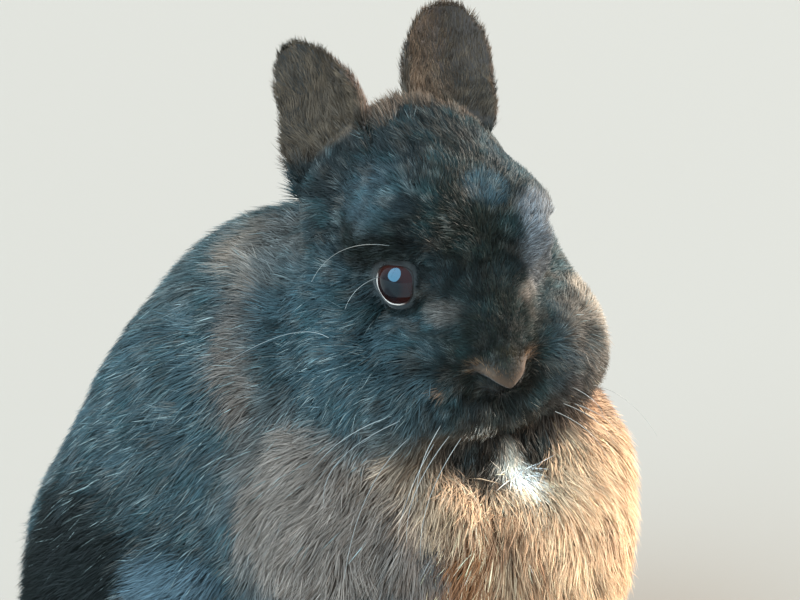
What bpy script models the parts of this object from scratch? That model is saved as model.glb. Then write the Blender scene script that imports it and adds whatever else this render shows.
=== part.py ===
"""Netherland dwarf rabbit, sitting with its head turned to its right, life size.

The rabbit faces -Y, its left side is +X, and the floor is the plane z = 0.
The coat is short, so every solid goes out to the tips of the fur.
"""
import bmesh
import bpy
import numpy as np
from math import cos, pi, radians, sin
from mathutils import Euler, Matrix, Vector

# Driving dimensions, in metres
MM = 0.001
GAP = 0.3 * MM                                  # clearance between nodes that touch
HEAD_AT = Vector((-11.2, -58.0, 129.0)) * MM    # middle of the skull between the eyes
HEAD_TURN = {"yaw": -30.0, "pitch": 20.0, "roll": -10.0}  # degrees, to its right and down
EYE_RADIUS = 7.4 * MM
EYE_AT = Vector((17.2, -3.8, 7.0)) * MM         # left eye, in the head's frame
EYE_AXIS = Vector((0.87, -0.46, 0.19))          # the way the left eye looks
EYE_OPENING = Vector((6.8, 6.2)) * MM           # half width and height between the lids
EYE_TILT = 12.0                                 # degrees that its front corner is raised
EAR_LENGTH = 47.5 * MM                          # from its root in the skull
EAR_WIDTH = 25.5 * MM
EAR_THICK = 2.6 * MM                            # at the middle of the ear, with its fur
GROOVE = 0.8 * MM                               # radius of the mouth's line and the nostrils

# How fine the skin is
VOXEL = 1.6 * MM
SKIN_TRIANGLES = 5600
REGION_SIDES = 20                               # sides round each cut between nodes

COLOURS = {
    "coat_black": (0.020, 0.022, 0.026),
    "coat_brown": (0.085, 0.062, 0.048),
    "ear_coat": (0.090, 0.062, 0.056),
    "eye_brown": (0.030, 0.014, 0.008),
    "claw_horn": (0.050, 0.040, 0.034),
}


# Soft forms. A form is an ellipsoid: centre, radii and turn, all in metres and degrees.

def turn_of(degrees):
    """Rotation matrix of (x, y, z) angles in degrees."""
    return Euler([radians(a) for a in degrees], "XYZ").to_matrix()


def form(centre, radii, turn=(0, 0, 0)):
    return {"centre": Vector(centre) * MM, "radii": Vector(radii) * MM, "turn": turn_of(turn)}


def pair(centre, radii, turn=(0, 0, 0)):
    """The same form on the left and, mirrored, on the right."""
    x, y, z = centre
    a, b, c = turn
    return [form(centre, radii, turn), form((-x, y, z), radii, (a, -b, -c))]


def placed(forms, matrix):
    """Forms moved from the head's frame to the rabbit's."""
    turn = matrix.to_3x3()
    return [{"centre": matrix @ f["centre"], "radii": f["radii"], "turn": turn @ f["turn"]}
            for f in forms]


def head_matrix():
    turn = (Matrix.Rotation(radians(HEAD_TURN["yaw"]), 4, "Z")
            @ Matrix.Rotation(radians(HEAD_TURN["pitch"]), 4, "X")
            @ Matrix.Rotation(radians(HEAD_TURN["roll"]), 4, "Y"))
    return Matrix.Translation(HEAD_AT) @ turn


HEAD = head_matrix()

TORSO = [
    form((2, -56, 54), (42, 44, 40)),              # chest
    form((10, -52, 79), (44, 38, 28), (10, 0, 0)),  # dewlap and ruff under the chin
    form((-4, -36, 96), (28, 28, 36), (-14, 0, 0)),  # neck
    form((1, -8, 97.5), (32, 44, 44)),             # withers and shoulders
    form((0, 5, 84), (42, 48, 50)),                # back
    form((0, 23, 58), (49, 49, 52)),               # loin
    form((0, 41, 37), (49, 46, 38)),               # rump
    form((0, -8, 44), (43, 56, 36)),               # belly
]
THIGHS = pair((38, 31, 25), (20, 40, 30), (0, 0, 4))
KNEES = pair((46, 7, 30), (12.5, 21, 24), (-14, 0, 6))
UPPER_ARMS = pair((35, -30, 56), (17, 24, 34), (18, 0, 0))
FOREARMS = pair((25, -54, 27), (12.5, 15, 27), (-22, 0, 0))
HIND_FEET = pair((47, 4, 8), (11, 37, 9.5), (2, 0, -4))
FORE_FEET = pair((22, -70, 8), (10.5, 17, 9), (4, 0, -4))
TAIL = [form((0, 84, 22), (14, 13, 18), (-24, 0, 0))]
CHIN_REST = form((-2, -31, -25), (21, 22, 14), (16, 0, 0))  # hollow in the ruff before the chin

SKULL_FORMS = [
    form((0, 14, 7), (27, 31, 28)),                # skull and forehead
    form((0, 30, 4), (24, 22, 31)),                # crown and back of the head
    *pair((20, -2, -22.5), (21.5, 26, 20)),         # cheeks
    *pair((16, 18, -8), (20, 22, 22)),             # sides of the head behind the eyes
    form((0, 0, -34), (24, 25, 12)),               # jaw and throat
    *pair((17.0, 2.5, 16), (9, 13, 8)),            # brows and temples
    form((16, -6, 14), (7.7, 8, 7)),               # front of the left brow
]
FACE_FORMS = [
    form((0, -11, -13), (21, 18.5, 17), (18, 0, 0)),  # muzzle
    form((0, -9, 1), (14, 21, 11), (30, 0, 0)),    # bridge of the nose
    *pair((16.5, -16, -20.5), (17.5, 15, 14.5)),     # whisker pads
    *pair((5.5, -24.6, -25), (7.5, 7, 8)),         # upper lips
    form((0, -27.6, -12.6), (6.5, 5, 6)),          # nose
    form((0, -18, -36.5), (10, 10.5, 6.5)),        # chin and lower lip
]
EYE_HOLLOWS = [                                    # the face falls back in front of each eye
    form((-29, -15, 12), (11, 11, 9.5)),
    form((35, -5, 9), (11, 11, 9)),                # less so on the left, where the brow stands out
]
LIDS = pair((17.6, -4.0, 7.0), (8.5, 8.6, 8.5))    # and its lids bulge out of that hollow

# Each ear's root, the way it points, the way its cup faces, how far its tip sweeps aside, how far
# its inner edge spreads at the root and where it starts to narrow, in the head's frame
EAR = {
    "left": {"root": (10.8, 27.5, 17), "along": (0.31, 0.66, 0.69), "cup": (-0.13, -0.63, 0.76),
             "sweep": 0.0, "flare": 0.0, "taper": 0.55},
    "right": {"root": (-18, 31.5, 14), "along": (0.05, 0.77, 0.63), "cup": (-0.84, -0.26, 0.48),
              "sweep": 8.0, "flare": 8.0, "taper": 0.38},
}
EAR_MOUND = Vector((11.0, 10.5, 11.0)) * MM     # soft base that each ear stands in


def ear_frame(side):
    """From the ear's frame, +Z along it and -Y out of its cup, to the head's."""
    ear = EAR[side]
    along = Vector(ear["along"]).normalized()
    cup = Vector(ear["cup"])
    cup = (cup - along * cup.dot(along)).normalized()
    turn = Matrix((cup.cross(along), -cup, along)).transposed()
    return Matrix.Translation(Vector(ear["root"]) * MM) @ turn.to_4x4()


def ear_mound(side):
    frame = ear_frame(side)
    return {"centre": frame @ Vector((0, -1.0 * MM, -1.5 * MM)), "radii": EAR_MOUND,
            "turn": frame.to_3x3()}


def blended(a, b, reach):
    """Union of two distance fields with a fillet of about the given reach."""
    mix = np.maximum(reach - np.abs(a - b), 0.0) / reach
    return np.minimum(a, b) - mix * mix * reach * 0.25


def distance_to(points, one):
    """Approximate distance of points to one ellipsoid, negative inside."""
    local = (points - np.array(one["centre"])) @ np.array(one["turn"])
    radii = np.array(one["radii"])
    near = np.linalg.norm(local / radii, axis=1)
    steep = np.linalg.norm(local / radii ** 2, axis=1)
    return near * (near - 1.0) / np.maximum(steep, 1e-9)


def union_of(points, forms, reach):
    field = distance_to(points, forms[0])
    for one in forms[1:]:
        field = blended(field, distance_to(points, one), reach)
    return field


def toes_of(foot_centre, spread, count, length, radius):
    """Small forms side by side at the front of a foot."""
    x, y, z = foot_centre
    toes = []
    for i in range(count):
        across = (i - (count - 1) / 2) * spread
        back = abs(i - (count - 1) / 2) * 0.28 * spread
        toes.append(form((x + across, y + back, z), (radius, length, radius)))
    return toes


FORE_TOES = {"ahead": (23, -88, 5.6), "spread": 4.6, "count": 4, "length": 7.5, "radius": 3.0}
HIND_TOES = {"ahead": (45.0, -26, 6.6), "spread": 5.0, "count": 4, "length": 9.0, "radius": 3.3}


def toe_row(toes, side):
    x, y, z = toes["ahead"]
    return toes_of((x * side, y, z), toes["spread"], toes["count"], toes["length"], toes["radius"])


ALL_TOES = [t for toes in (FORE_TOES, HIND_TOES) for side in (1, -1) for t in toe_row(toes, side)]
SKULL_PLACED = placed(SKULL_FORMS + [ear_mound("left"), ear_mound("right")], HEAD)
FACE_PLACED = placed(FACE_FORMS, HEAD)
HOLLOWS_PLACED = placed(EYE_HOLLOWS, HEAD)
LIDS_PLACED = placed(LIDS, HEAD)
ALL_FORMS = (TORSO + THIGHS + KNEES + UPPER_ARMS + FOREARMS + HIND_FEET + FORE_FEET
             + ALL_TOES + TAIL + SKULL_PLACED + FACE_PLACED + LIDS_PLACED)


def skin_field(points):
    """Signed distance of points to the whole rabbit without its ears, negative inside."""
    body = union_of(points, TORSO, 18 * MM)
    body = -blended(-body, distance_to(points, placed([CHIN_REST], HEAD)[0]), 10 * MM)
    body = blended(body, union_of(points, THIGHS, 1 * MM), 9 * MM)
    body = blended(body, union_of(points, KNEES, 1 * MM), 7 * MM)
    body = blended(body, union_of(points, UPPER_ARMS, 1 * MM), 12 * MM)
    body = blended(body, union_of(points, FOREARMS, 2 * MM), 8 * MM)
    head = union_of(points, SKULL_PLACED, 10 * MM)
    head = blended(head, union_of(points, FACE_PLACED, 4 * MM), 6 * MM)
    head = -blended(-head, union_of(points, HOLLOWS_PLACED, 1 * MM), 5 * MM)
    head = blended(head, union_of(points, LIDS_PLACED, 1 * MM), 2.5 * MM)
    body = blended(body, head, 8 * MM)
    feet = union_of(points, HIND_FEET + FORE_FEET, 3 * MM)
    feet = blended(feet, union_of(points, ALL_TOES, 1.2 * MM), 2.5 * MM)
    body = blended(body, feet, 6 * MM)
    body = blended(body, union_of(points, TAIL, 1 * MM), 8 * MM)
    return body


def onto_skin(points, steps=7):
    """Points moved along the field's slope until they lie on the skin."""
    points = points.copy()
    reach = 0.2 * MM
    for _ in range(steps):
        here = skin_field(points)
        slope = np.empty_like(points)
        for axis in range(3):
            shifted = points.copy()
            shifted[:, axis] += reach
            slope[:, axis] = (skin_field(shifted) - here) / reach
        size = np.maximum((slope ** 2).sum(1), 0.2)
        points -= slope * np.clip(here / size, -4 * MM, 4 * MM)[:, None]
    return points


# Meshes and objects

def link(name, mesh):
    obj = bpy.data.objects.new(name, mesh)
    bpy.context.scene.collection.objects.link(obj)
    return obj


def mesh_points(mesh):
    flat = np.empty(len(mesh.vertices) * 3)
    mesh.vertices.foreach_get("co", flat)
    return flat.reshape(-1, 3)


def set_points(mesh, points):
    mesh.vertices.foreach_set("co", points.ravel())
    mesh.update()


def ellipsoid_mesh(name, one, segments=32, grow=0.0):
    """A closed sphere mesh shaped as one form, with its radii grown."""
    shape = bmesh.new()
    bmesh.ops.create_uvsphere(shape, u_segments=segments, v_segments=segments // 2, radius=1.0)
    radii = one["radii"] + Vector((grow,) * 3)
    matrix = Matrix.Translation(one["centre"]) @ one["turn"].to_4x4() @ Matrix.Diagonal((*radii, 1))
    shape.transform(matrix)
    mesh = bpy.data.meshes.new(name)
    shape.to_mesh(mesh)
    shape.free()
    return mesh


def applied(obj):
    """The object with its modifiers made part of its mesh."""
    graph = bpy.context.evaluated_depsgraph_get()
    mesh = bpy.data.meshes.new_from_object(obj.evaluated_get(graph))
    obj.modifiers.clear()
    old = obj.data
    obj.data = mesh
    bpy.data.meshes.remove(old)
    return obj


def joined_forms(name, forms):
    """One object that holds all the forms as loose ellipsoids."""
    shape = bmesh.new()
    for one in forms:
        part = ellipsoid_mesh("part", one, 20)
        shape.from_mesh(part)
        bpy.data.meshes.remove(part)
    mesh = bpy.data.meshes.new(name)
    shape.to_mesh(mesh)
    shape.free()
    return link(name, mesh)


def whole_skin():
    """The rabbit's skin without its ears: forms fused, settled on the field and thinned out."""
    obj = joined_forms("skin", ALL_FORMS)
    remesh = obj.modifiers.new("Remesh", "REMESH")
    remesh.mode = "VOXEL"
    remesh.voxel_size = VOXEL
    applied(obj)
    for steps in (5, 3):
        set_points(obj.data, onto_skin(mesh_points(obj.data), steps))
        smooth = obj.modifiers.new("Smooth", "SMOOTH")
        smooth.iterations = 1
        applied(obj)
    set_points(obj.data, onto_skin(mesh_points(obj.data), 2))
    thin = obj.modifiers.new("Decimate", "DECIMATE")
    thin.ratio = SKIN_TRIANGLES / (2.0 * len(obj.data.polygons))
    applied(obj)
    points = mesh_points(obj.data)
    points[:, 2] = np.maximum(points[:, 2], 0.0)     # what it rests on is flat
    set_points(obj.data, points)
    return obj


def boolean(obj, mesh, operation):
    """Cuts obj by a closed mesh, or keeps what lies inside it."""
    knife = link("knife", mesh)
    knife.hide_render = True
    knife.display_type = "WIRE"
    modifier = obj.modifiers.new("Boolean", "BOOLEAN")
    modifier.operation = operation
    modifier.solver = "EXACT"
    modifier.object = knife
    applied(obj)
    bpy.data.objects.remove(knife)


def largest_piece(obj):
    """Drops every loose scrap of a mesh but its largest closed surface."""
    shape = bmesh.new()
    shape.from_mesh(obj.data)
    left = set(shape.verts)
    pieces = []
    while left:
        found = [left.pop()]
        piece = set(found)
        while found:
            vertex = found.pop()
            for edge in vertex.link_edges:
                other = edge.other_vert(vertex)
                if other in left:
                    left.discard(other)
                    piece.add(other)
                    found.append(other)
        pieces.append(piece)
    pieces.sort(key=len)
    for piece in pieces[:-1]:
        bmesh.ops.delete(shape, geom=list(piece), context="VERTS")
    shape.to_mesh(obj.data)
    shape.free()


# The nodes' regions. Each is an ellipsoid that cuts its node from the whole.

REGIONS = {
    "head": placed([form((0, 7, 3), (55, 60, 53))], HEAD)[0],
    "neck": form((-4, -44, 108), (68, 50, 52), (-20, 0, 0)),
    "tail": form((0, 100, 22), (22, 17, 26), (-24, 0, 0)),
    "hind_leg_left": form((54, 26, 32), (30, 50, 42), (0, 0, 5)),
    "fore_leg_left": form((35, -44.4, 36.2), (27, 34, 50), (-8, 12, 0)),
    "hind_foot_left": form((47, 2, 2), (17, 52, 15.5), (2, 0, -4)),
    "fore_foot_left": form((22, -83, 3), (15, 25, 14), (4, 0, -4)),
}


def mirrored(one):
    flip = Matrix.Diagonal((-1, 1, 1))
    centre = one["centre"].copy()
    centre.x = -centre.x
    return {"centre": centre, "radii": one["radii"], "turn": flip @ one["turn"] @ flip}


for region in [r for r in REGIONS if r.endswith("_left")]:
    REGIONS[region.replace("_left", "_right")] = mirrored(REGIONS[region])


def carved(source, name, inside, outside):
    """A copy of source, kept inside one region and cut clear of the others."""
    node = link(name, source.data.copy())
    if inside:
        keeper = ellipsoid_mesh("keeper", REGIONS[inside], REGION_SIDES)
        boolean(node, keeper, "INTERSECT")
    for other in outside:
        boolean(node, ellipsoid_mesh("knife", REGIONS[other], REGION_SIDES, GAP), "DIFFERENCE")
    largest_piece(node)
    return node


def cut_clear(obj, neighbour):
    """Ends obj at its neighbour's surface, with the usual gap."""
    knife = link("grown", neighbour.data.copy())
    grow = knife.modifiers.new("Grow", "DISPLACE")
    grow.strength = GAP
    grow.mid_level = 0.0
    applied(knife)
    mesh = knife.data
    bpy.data.objects.remove(knife)
    boolean(obj, mesh, "DIFFERENCE")
    largest_piece(obj)


# Face

def groove(head, points):
    """Sinks a thin round-bottomed line into the head along points of its own frame."""
    route = onto_skin(np.array([HEAD @ (Vector(p) * MM) for p in points]))
    boolean(head, tube_mesh("groove", [Vector(p) for p in route], GROOVE), "DIFFERENCE")


def tube_mesh(name, route, radius, sides=6):
    """A closed tube round a route, its rings carried along without a twist."""
    shape = bmesh.new()
    rings = []
    aside = (route[1] - route[0]).orthogonal()
    for i, point in enumerate(route):
        ahead = (route[min(i + 1, len(route) - 1)] - route[max(i - 1, 0)]).normalized()
        aside = (aside - ahead * aside.dot(ahead)).normalized()
        up = ahead.cross(aside)
        rings.append([shape.verts.new(point + (aside * cos(a) + up * sin(a)) * radius)
                      for a in [2 * pi * k / sides for k in range(sides)]])
    for low, high in zip(rings, rings[1:]):
        for k in range(sides):
            m = (k + 1) % sides
            shape.faces.new((low[k], low[m], high[m], high[k]))
    shape.faces.new(rings[0][::-1])
    shape.faces.new(rings[-1])
    bmesh.ops.recalc_face_normals(shape, faces=shape.faces)
    return finished_mesh(name, shape)


def finished_mesh(name, shape):
    mesh = bpy.data.meshes.new(name)
    shape.to_mesh(mesh)
    shape.free()
    return mesh


def eye_form(side):
    sign = 1 if side == "left" else -1
    return {"centre": HEAD @ Vector((EYE_AT.x * sign, EYE_AT.y, EYE_AT.z)),
            "radii": Vector((EYE_RADIUS,) * 3), "turn": HEAD.to_3x3()}


def lid_opening(side):
    """The long round hole between the lids, an ellipsoid ahead of the eye."""
    sign = 1 if side == "left" else -1
    axis = Vector((EYE_AXIS.x * sign, EYE_AXIS.y, EYE_AXIS.z)).normalized()
    level = axis.cross(Vector((0, 0, 1))).normalized()
    tilt = radians(EYE_TILT) * sign
    across = level * cos(tilt) + level.cross(axis) * sin(tilt)
    turn = HEAD.to_3x3() @ Matrix((across, axis, across.cross(axis))).transposed()
    centre = eye_form(side)["centre"] + HEAD.to_3x3() @ axis * (EYE_RADIUS * 0.95)
    return {"centre": centre, "radii": Vector((EYE_OPENING.x, EYE_RADIUS * 0.8, EYE_OPENING.y)),
            "turn": turn}


MOUTH = [(14, -29.2, -32.6), (11.5, -29, -33.3), (8.5, -28.9, -33.5), (5.5, -29.1, -33.3),
         (2.5, -29, -32.8), (0, -28.8, -32.2)]
PHILTRUM = [(0, -28.8, -32.2), (0, -30.3, -28), (0, -30.8, -24), (0, -30.4, -20), (0, -32, -16)]
NOSTRIL = [(1.6, -32.2, -14.9), (3.6, -31.7, -12.6), (5.6, -30.2, -11.6), (7.4, -28.7, -12.0)]


def face(head):
    for side in ("left", "right"):
        boolean(head, ellipsoid_mesh("socket", eye_form(side), 24, GAP), "DIFFERENCE")
        boolean(head, ellipsoid_mesh("opening", lid_opening(side), 24), "DIFFERENCE")
        sign = 1 if side == "left" else -1
        groove(head, [(x * sign, y, z) for x, y, z in NOSTRIL])
    groove(head, MOUTH + [(-x, y, z) for x, y, z in MOUTH[-2::-1]])
    groove(head, PHILTRUM)
    largest_piece(head)


# Ears and claws

EAR_STEPS = 12
EAR_ACROSS = 10


def ear_station(t, taper):
    """Width of the ear, how far round it curls to each side, and its thickness, at t from 0 to 1."""
    width = EAR_WIDTH * (0.78 + 0.22 * sin(pi / 2 * min(1.0, t / 0.5)))
    tip = max(0.0, (t - taper) / (1.0 - taper))
    width *= (1.0 - 0.97 * tip ** 2.2) ** 0.5
    curl = radians(38.0 + 70.0 * max(0.0, 1.0 - t / 0.62) ** 1.3)
    return width, curl, EAR_THICK * (1.0 - 0.35 * t)


def ear_shell(name, side):
    """A curled leaf with an outer and an inner wall, closed at its root, rim and tip."""
    shape = bmesh.new()
    matrix = HEAD @ ear_frame(side)
    rows = []
    for i in range(EAR_STEPS + 1):
        t = sin(pi / 2 * i / EAR_STEPS)
        width, curl, thick = ear_station(t, EAR[side]["taper"])
        radius = width / (2.0 * sin(min(curl, pi / 2)))
        outer, inner = [], []
        for j in range(EAR_ACROSS + 1):
            s = 2.0 * j / EAR_ACROSS - 1.0
            wall = thick * (1.0 - 0.45 * s * s) * (0.35 + 0.65 * min(1.0, (1.0 - t) * 6.0))
            bow = 4.0 * MM * t * t
            aside = EAR[side]["sweep"] * MM * t * t
            aside -= EAR[side]["flare"] * MM * (1.0 - t) * (0.5 - 0.5 * s)
            for ring, r in ((outer, radius), (inner, radius - wall)):
                place = Vector((r * sin(s * curl) + aside,
                                r * cos(s * curl) - radius * 0.8 + bow, EAR_LENGTH * t))
                ring.append(shape.verts.new(matrix @ place))
        rows.append(outer + inner[::-1])
    for low, high in zip(rows, rows[1:]):
        for k in range(len(low)):
            m = (k + 1) % len(low)
            shape.faces.new((low[k], low[m], high[m], high[k]))
    n = EAR_ACROSS + 1
    for row in (rows[0], rows[-1]):
        for k in range(n - 1):
            shape.faces.new((row[k], row[2 * n - 1 - k], row[2 * n - 2 - k], row[k + 1]))
    bmesh.ops.triangulate(shape, faces=shape.faces)
    bmesh.ops.recalc_face_normals(shape, faces=shape.faces)
    return link(name, finished_mesh(name, shape))


CLAW = {"radius": 1.15 * MM, "ahead": 5.4 * MM, "drop": 3.0 * MM, "sunk": 2.0 * MM,
        "sides": 7, "rings": 3}


def claw(name, toe, foot):
    """A short bent horn that comes out of the end of a toe."""
    root = toe["centre"] + Vector((0, CLAW["sunk"] - toe["radii"].y, 0.2 * MM))
    reach = CLAW["ahead"] + CLAW["sunk"]
    shape = bmesh.new()
    rings = []
    for k in range(CLAW["rings"]):
        t = k / CLAW["rings"]
        centre = root + Vector((0, -reach * t, -CLAW["drop"] * t * t))
        size = CLAW["radius"] * (1.0 - 0.7 * t)
        rings.append([shape.verts.new(centre + Vector((cos(a) * size, 0, sin(a) * size)))
                      for a in [2 * pi * m / CLAW["sides"] for m in range(CLAW["sides"])]])
    tip = shape.verts.new(root + Vector((0, -reach, -CLAW["drop"])))
    shape.faces.new(rings[0])
    for low, high in zip(rings, rings[1:]):
        for m in range(CLAW["sides"]):
            n = (m + 1) % CLAW["sides"]
            shape.faces.new((low[m], low[n], high[n], high[m]))
    for m in range(CLAW["sides"]):
        shape.faces.new((rings[-1][m], rings[-1][(m + 1) % CLAW["sides"]], tip))
    bmesh.ops.recalc_face_normals(shape, faces=shape.faces)
    obj = link(name, finished_mesh(name, shape))
    cut_clear(obj, foot)
    return obj


# Finish and place

def coloured(obj, colour, roughness):
    """Gives one node its own material."""
    material = bpy.data.materials.new(obj.name)
    material.use_nodes = True
    shader = material.node_tree.nodes["Principled BSDF"]
    shader.inputs["Base Color"].default_value = (*COLOURS[colour], 1.0)
    shader.inputs["Roughness"].default_value = roughness
    shader.inputs["Metallic"].default_value = 0.0
    obj.data.materials.clear()
    obj.data.materials.append(material)


def centred(nodes):
    """Moves all nodes so that the middle of their box's floor is the origin."""
    points = np.concatenate([mesh_points(node.data) for node in nodes])
    low, high = points.min(0), points.max(0)
    shift = np.array([(low[0] + high[0]) / 2, (low[1] + high[1]) / 2, low[2]])
    for node in nodes:
        set_points(node.data, mesh_points(node.data) - shift)


def clear_scene():
    for obj in list(bpy.data.objects):
        bpy.data.objects.remove(obj)


def build():
    clear_scene()
    skin = whole_skin()
    limbs = [f"{limb}_{side}" for limb in ("hind_leg", "hind_foot", "fore_leg", "fore_foot")
             for side in ("left", "right")]
    nodes = {"head": carved(skin, "head", "head", [])}
    nodes["neck"] = carved(skin, "neck", "neck", ["head"])
    nodes["tail"] = carved(skin, "tail", "tail", [])
    nodes["torso"] = carved(skin, "torso", None, ["head", "neck", "tail"] + limbs)
    face(nodes["head"])
    for side in ("left", "right"):
        hind_leg, hind_foot = f"hind_leg_{side}", f"hind_foot_{side}"
        fore_leg, fore_foot = f"fore_leg_{side}", f"fore_foot_{side}"
        nodes[hind_leg] = carved(skin, hind_leg, hind_leg, [hind_foot])
        nodes[fore_leg] = carved(skin, fore_leg, fore_leg,
                                 [fore_foot, hind_foot, hind_leg, "head", "neck"])
        nodes[hind_foot] = carved(skin, hind_foot, hind_foot, [])
        nodes[fore_foot] = carved(skin, fore_foot, fore_foot, [])
    for node in nodes.values():
        coloured(node, "coat_black", 0.75)
    for name in ("neck", "fore_leg_left", "fore_leg_right"):
        coloured(nodes[name], "coat_brown", 0.75)
    for side, sign in (("left", 1), ("right", -1)):
        ear = ear_shell(f"ear_{side}", side)
        cut_clear(ear, skin)
        coloured(ear, "ear_coat", 0.8)
        eye = link(f"eye_{side}", ellipsoid_mesh(f"eye_{side}", eye_form(side), 20))
        coloured(eye, "eye_brown", 0.05)
        nodes[ear.name], nodes[eye.name] = ear, eye
        for limb, toes in (("fore", FORE_TOES), ("hind", HIND_TOES)):
            for number, toe in enumerate(toe_row(toes, sign), 1):
                horn = claw(f"{limb}_claw_{side}_{number}", toe, nodes[f"{limb}_foot_{side}"])
                coloured(horn, "claw_horn", 0.35)
                nodes[horn.name] = horn
    bpy.data.objects.remove(skin)
    centred(list(nodes.values()))


build()
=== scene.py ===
import math

import bpy
import numpy as np
from mathutils import Matrix, Vector


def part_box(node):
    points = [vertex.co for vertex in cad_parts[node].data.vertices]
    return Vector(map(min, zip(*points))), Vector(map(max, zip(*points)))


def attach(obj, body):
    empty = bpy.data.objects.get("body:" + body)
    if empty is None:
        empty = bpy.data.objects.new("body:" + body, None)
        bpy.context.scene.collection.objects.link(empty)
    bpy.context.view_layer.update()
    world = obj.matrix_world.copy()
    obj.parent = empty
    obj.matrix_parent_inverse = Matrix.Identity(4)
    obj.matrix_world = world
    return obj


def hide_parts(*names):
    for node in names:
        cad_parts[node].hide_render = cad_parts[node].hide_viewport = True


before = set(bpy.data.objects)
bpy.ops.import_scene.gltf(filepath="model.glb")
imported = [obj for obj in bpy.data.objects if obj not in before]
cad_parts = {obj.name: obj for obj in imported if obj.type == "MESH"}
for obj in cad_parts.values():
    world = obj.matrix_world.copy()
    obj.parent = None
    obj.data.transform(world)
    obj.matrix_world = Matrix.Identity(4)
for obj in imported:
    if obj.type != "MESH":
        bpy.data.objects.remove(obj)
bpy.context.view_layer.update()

# Netherland dwarf rabbit, sitting with its head turned to its right. It faces -Y, its left is +X.
# Skin first, then the coat as thin mesh tufts that grow from it, then eyes, lids, whiskers and claws.

mm = 0.001
bothSides = ("left", "right")
headTurn = {"yaw": -30.0, "pitch": 20.0, "roll": -10.0}  # degrees, to its right and a little down
eyeInHead = {"y": -3.8, "z": 7.0}  # mm, both eyes in the head's own axes

headAxes = (Matrix.Rotation(math.radians(headTurn["yaw"]), 3, "Z")
            @ Matrix.Rotation(math.radians(headTurn["pitch"]), 3, "X")
            @ Matrix.Rotation(math.radians(headTurn["roll"]), 3, "Y"))


def middleOf(node):
    low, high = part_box(node)
    return (Vector(low) + Vector(high)) / 2


eyeAt = {side: middleOf("eye_" + side) for side in bothSides}
eyeMiddle = {side: np.array(eyeAt[side]) for side in bothSides}
eyeRadius = (Vector(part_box("eye_left")[1]) - Vector(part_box("eye_left")[0])).z / 2
headAt = (eyeAt["left"] + eyeAt["right"]) / 2 - headAxes @ Vector((0, eyeInHead["y"], eyeInHead["z"])) * mm
turnHead = np.array(headAxes)
placeHead = np.array(headAt)


def toHead(points):  # world metres to head millimetres
    return (points - placeHead) @ turnHead / mm


def fromHead(points):  # head millimetres to world metres
    return np.asarray(points, float) * mm @ turnHead.T + placeHead


def unit(vectors):
    return vectors / np.maximum(np.linalg.norm(vectors, axis=-1, keepdims=True), 1e-12)


def smoothStep(low, high, value):
    t = np.clip((value - low) / (high - low), 0.0, 1.0)
    return t * t * (3.0 - 2.0 * t)


def linear(hexColour):  # sRGB hex to linear RGBA
    parts = [int(hexColour[i:i + 2], 16) / 255 for i in (1, 3, 5)]
    return tuple(c / 12.92 if c <= 0.04045 else ((c + 0.055) / 1.055) ** 2.4 for c in parts) + (1.0,)


def rgb(hexColour):
    return np.array(linear(hexColour)[:3])


waveMake = {"each": 5, "finer": 1.9, "weaker": 1.6, "level": 4.0}  # waves in an octave, step to the next


def waves(points, size, seed, octaves=3):  # smooth random field of about -1 to 1, size in metres
    draw = np.random.default_rng(seed)
    total = np.zeros(len(points))
    for octave in range(octaves):
        for _ in range(waveMake["each"]):
            way = unit(draw.normal(size=3)) * 2 * math.pi / (size / waveMake["finer"] ** octave)
            phase = points @ way + draw.uniform(0, 2 * math.pi)
            total += np.sin(phase) / waveMake["weaker"] ** octave
    return total / waveMake["level"]


# Object and mesh helpers

def setMode(mode):
    bpy.ops.object.mode_set(mode=mode)


def deselectAll():
    if bpy.context.object and bpy.context.object.mode != "OBJECT":
        setMode("OBJECT")
    bpy.ops.object.select_all(action="DESELECT")


def makeActive(obj):
    deselectAll()
    obj.select_set(True)
    bpy.context.view_layer.objects.active = obj


def applyModifier(obj, kind, **settings):
    makeActive(obj)
    modifier = obj.modifiers.new(kind.title(), kind)
    for name, value in settings.items():
        setattr(modifier, name, value)
    bpy.ops.object.modifier_apply(modifier=modifier.name)


def faceOutwards(obj):  # recalculates the normals of a closed surface
    makeActive(obj)
    setMode("EDIT")
    bpy.ops.mesh.select_all(action="SELECT")
    bpy.ops.mesh.normals_make_consistent(inside=False)
    setMode("OBJECT")


def verticesOf(mesh):
    flat = np.empty(len(mesh.vertices) * 3)
    mesh.vertices.foreach_get("co", flat)
    return flat.reshape(-1, 3)


def moveVertices(mesh, points):
    mesh.vertices.foreach_set("co", np.ascontiguousarray(points, float).ravel())
    mesh.update()


def normalsOf(mesh):
    flat = np.empty(len(mesh.vertices) * 3)
    mesh.vertex_normals.foreach_get("vector", flat)
    return flat.reshape(-1, 3)


mergeGap = 0.01  # mm


def copyOfNodes(names, pieceName):  # one object from merged copies of CAD nodes
    deselectAll()
    for name in names:
        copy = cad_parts[name].copy()
        copy.data = copy.data.copy()
        copy.parent = None
        bpy.context.scene.collection.objects.link(copy)
        copy.select_set(True)
        bpy.context.view_layer.objects.active = copy
    if len(names) > 1:
        bpy.ops.object.join()
    obj = bpy.context.object
    obj.name = obj.data.name = pieceName
    setMode("EDIT")
    bpy.ops.mesh.select_all(action="SELECT")
    bpy.ops.mesh.remove_doubles(threshold=mergeGap * mm)
    setMode("OBJECT")
    obj.data.materials.clear()
    return obj


def addNode(tree, kind, settings=None, values=None, links=None):
    node = tree.nodes.new("ShaderNode" + kind)
    for name, value in (settings or {}).items():
        setattr(node, name, value)
    for name, value in (values or {}).items():
        node.inputs[name].default_value = value
    for name, source in (links or {}).items():
        tree.links.new(source, node.inputs[name])
    return node


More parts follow.
